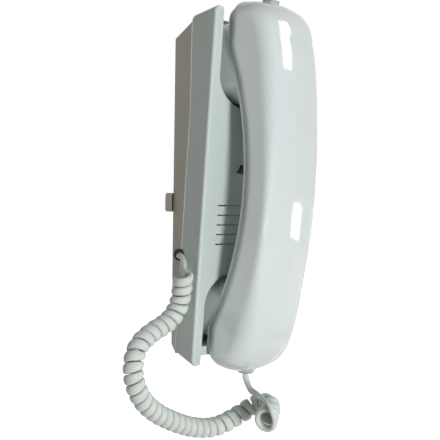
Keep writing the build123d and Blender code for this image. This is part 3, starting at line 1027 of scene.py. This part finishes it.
    def _rings(
        self, line: np.ndarray, axes: np.ndarray, first: int, last: int
    ) -> np.ndarray:
        """Set a flattened ring round the wire at each of its points.

        Args:
            line: The wire's centre points.
            axes: The coil's axis at each.
            first: Number of the coil's first point.
            last: Number of the coil's last point.

        Returns:
            The points of each ring.
        """
        ways = ways_along(line)
        flat = self._flats(ways, axes, first, last)
        along = lengths_along(line)
        off_coil = np.maximum(along[first] - along, along - along[last])
        coiled = np.clip(1.0 - off_coil / self.fade, 0.0, 1.0)
        band = self._band(line, axes, first, last)
        width = self.lead_width * (1 - coiled) + band * coiled
        depth = self.lead_thickness * (1 - coiled) + self.band_thickness * coiled
        angle = np.arange(self.sides) / self.sides * FULL_TURN
        across, over = (
            np.sign(swing) * np.abs(swing) ** self.squareness / 2
            for swing in (np.cos(angle), np.sin(angle))
        )
        return (
            line[:, None, :]
            + flat[:, None, :] * (width[:, None] * across)[:, :, None]
            + np.cross(ways, flat)[:, None, :] * (depth[:, None] * over)[:, :, None]
        )

    def _tube(self, rings: np.ndarray) -> bpy.types.Object:
        """Skin the rings to a tube that is closed at both ends.

        Args:
            rings: The points of each ring.

        Returns:
            The tube's object.
        """
        sides, end = self.sides, (len(rings) - 1) * self.sides
        faces = [
            (
                ring + side,
                ring + (side + 1) % sides,
                ring + sides + (side + 1) % sides,
                ring + sides + side,
            )
            for ring in range(0, end, sides)
            for side in range(sides)
        ]
        faces.append(tuple(reversed(range(sides))))
        faces.append(tuple(range(end, end + sides)))
        mesh = bpy.data.meshes.new("curly_cord_tube")
        mesh.from_pydata(rings.reshape(-1, 3).tolist(), [], faces)
        mesh.polygons.foreach_set("use_smooth", [True] * len(mesh.polygons))
        mesh.materials.append(self.workshop.finish("cord_pvc"))
        cord = bpy.data.objects.new("curly_cord_tube", mesh)
        bpy.context.scene.collection.objects.link(cord)
        return cord

    def build(self) -> bpy.types.Object:
        """Make the cord's tube between the two grommets, in place of the imported cord.

        Returns:
            The cord's mesh object.
        """
        line, axes, first, last = self.path()
        cord = self._tube(self._rings(line, axes, first, last))
        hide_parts("curly_cord")
        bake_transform(cord)
        return cord


# Studio


@dataclass(frozen=True)
class Lamp:
    """A rectangular lamp that looks at a place."""

    name: str
    place: Place
    aim: Place
    width: float
    height: float
    power: float
    tilt: float = 0.0
    mirrored: ClassVar[bool] = False

    def build(self) -> bpy.types.Object:
        """Hang the lamp.

        Returns:
            The lamp's object.
        """
        light = bpy.data.lights.new(self.name, "AREA")
        light.shape = "RECTANGLE"
        light.size, light.size_y = self.width, self.height
        light.energy = self.power
        lamp = bpy.data.objects.new(self.name, light)
        bpy.context.scene.collection.objects.link(lamp)
        lamp.location = self.place
        lamp.visible_camera = False
        lamp.visible_glossy = self.mirrored
        lamp.visible_diffuse = not self.mirrored
        way = Vector(self.aim) - Vector(self.place)
        turn = way.to_track_quat("-Z", "Y").to_matrix()
        turn = turn @ Matrix.Rotation(math.radians(self.tilt), 3, "Z")
        lamp.rotation_euler = turn.to_euler()
        return lamp


@dataclass(frozen=True)
class Window(Lamp):
    """A window that only shows as a reflection in glossy surfaces."""

    mirrored: ClassVar[bool] = True


@dataclass
class Studio:
    """Pale floor, soft lamps and the camera at the photograph's view."""

    camera_place: Place = (-0.6051, -0.4240, 0.0005)
    heading: float = math.radians(56.0)
    dip: float = math.radians(0.89)
    roll: float = math.radians(0.84)
    field: float = 2 * math.atan(PHOTO_WIDTH / 2 / FOCAL_LENGTH)
    nearest: float = 0.01
    ambient: float = 0.09
    ambient_colour: Colour = (1.0, 0.98, 0.88, 1.0)
    floor_colour: Colour = paint(236, 235, 229)
    floor_drop: float = 0.12
    floor_size: float = 8.0
    floor_glow: float = 0.66
    floor_near: float = 0.35
    floor_far: float = 0.9
    lamps: tuple[Lamp, ...] = (
        Lamp("key", (-0.68, -1.52, -0.1), (0.0, -0.04, -0.02), 0.55, 0.3, 19.8),
        Lamp("right_fill", (1.5, -0.3, 0.3), (0.0, -0.04, 0.0), 0.8, 0.8, 4.0),
        Lamp("back_fill", (0.5, 1.5, 0.3), (0.0, -0.04, 0.0), 0.8, 0.8, 5.0),
        Lamp("top", (0.0, -0.3, 1.6), (0.0, -0.03, 0.0), 1.0, 1.0, 3.4),
        Window(
            "low_window", (1.32, -0.76, -0.18), (0.004, -0.069, -0.01), 0.13, 0.08, 0.2
        ),
        Window(
            "high_window",
            (1.06, -0.91, 0.66),
            (-0.015, -0.07, 0.098),
            0.2,
            0.6,
            3.2,
            tilt=-22.0,
        ),
    )

    def camera(self) -> None:
        """Set the camera where the photograph was taken from."""
        ahead = Vector(
            (
                math.sin(self.heading) * math.cos(self.dip),
                math.cos(self.heading) * math.cos(self.dip),
                -math.sin(self.dip),
            )
        )
        right = Vector((math.cos(self.heading), -math.sin(self.heading), 0.0))
        up = right.cross(ahead)
        tilted_right = right * math.cos(self.roll) + up * math.sin(self.roll)
        tilted_up = up * math.cos(self.roll) - right * math.sin(self.roll)
        turn = Matrix((tilted_right, tilted_up, -ahead)).transposed()
        data = bpy.data.cameras.new("camera")
        data.sensor_fit = "HORIZONTAL"
        data.angle = self.field
        data.clip_start = self.nearest
        camera = bpy.data.objects.new("camera", data)
        bpy.context.scene.collection.objects.link(camera)
        camera.matrix_world = Matrix.Translation(self.camera_place) @ turn.to_4x4()
        bpy.context.scene.camera = camera

    @staticmethod
    def _seen(
        net: Net, lit: bpy.types.NodeSocket, shown: bpy.types.NodeSocket
    ) -> bpy.types.NodeSocket:
        """Choose what the backdrop is, by the rays that reach it.

        Args:
            net: The net of the floor's material or the world.
            lit: The shader that lights the part.
            shown: The shader that is seen, also in a reflection or through glass.

        Returns:
            The chosen shader's socket.
        """
        path = net.add("LightPath").outputs
        seen = net.maths("MAXIMUM", path["Is Camera Ray"], path["Is Glossy Ray"])
        seen = net.maths("MAXIMUM", seen, path["Is Transmission Ray"])
        return net.add("MixShader", {"Fac": seen, 1: lit, 2: shown}).outputs[0]

    def backdrop(self) -> None:
        """Make the world white to look at and soft grey as a light."""
        world = bpy.data.worlds.new("studio")
        world.use_nodes = True
        bpy.context.scene.world = world
        net = Net(world.node_tree)
        net.tree.nodes.clear()
        soft, white = (
            net.add("Background", {"Color": colour, "Strength": strength}).outputs[0]
            for colour, strength in ((self.ambient_colour, self.ambient), (WHITE, 1.0))
        )
        net.add("OutputWorld", {"Surface": self._seen(net, soft, white)})

    def _floor_paint(self) -> bpy.types.Material:
        """Pale paint that keeps the part's shadow and fades to white far out.

        Returns:
            The floor's material.
        """
        material, net, surface = blank("floor_paint")
        net.join(self.floor_colour, surface["Base Color"])
        net.join(Sheen.CHALKY.value, surface["Roughness"])
        reach = net.add("VectorMath", {0: net.on_piece()}, operation="LENGTH")
        far = net.ramp(reach.outputs["Value"], self.floor_near, self.floor_far)
        strength = net.maths("MULTIPLY_ADD", far, 1.0 - self.floor_glow, self.floor_glow)
        glow = net.add("Emission", {"Strength": strength})
        plain = net.tree.nodes["Principled BSDF"].outputs[0]
        glowing = net.add("AddShader", {0: plain, 1: glow.outputs[0]})
        output = net.tree.nodes["Material Output"]
        net.join(self._seen(net, plain, glowing.outputs[0]), output.inputs["Surface"])
        return material

    def floor(self) -> None:
        """Lay the pale floor below the part."""
        low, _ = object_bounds()
        half = self.floor_size / 2
        height = low.z - self.floor_drop
        corners = [
            (x * half, y * half, height) for x, y in ((-1, -1), (1, -1), (1, 1), (-1, 1))
        ]
        mesh = bpy.data.meshes.new("floor")
        mesh.from_pydata(corners, [], [(0, 1, 2, 3)])
        mesh.materials.append(self._floor_paint())
        floor = bpy.data.objects.new("floor", mesh)
        bpy.context.scene.collection.objects.link(floor)
        floor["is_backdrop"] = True

    def build(self) -> None:
        """Set up the camera, backdrop, floor and lamps."""
        self.camera()
        self.backdrop()
        self.floor()
        for lamp in self.lamps:
            lamp.build()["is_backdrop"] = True
        bpy.context.scene.view_settings.view_transform = "Standard"
        LOG.info("studio set with %d lamps", len(self.lamps))


def main() -> None:
    """Build the part's pieces in order, then the studio."""
    logging.basicConfig(level=logging.INFO, format="%(name)s: %(message)s")
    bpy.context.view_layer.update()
    workshop = Workshop()
    CurlyCord(workshop).build()
    WallCase(workshop).build()
    Electronics(workshop).build()
    Receiver(workshop).build()
    Studio().build()


if __name__ == "__main__":
    main()
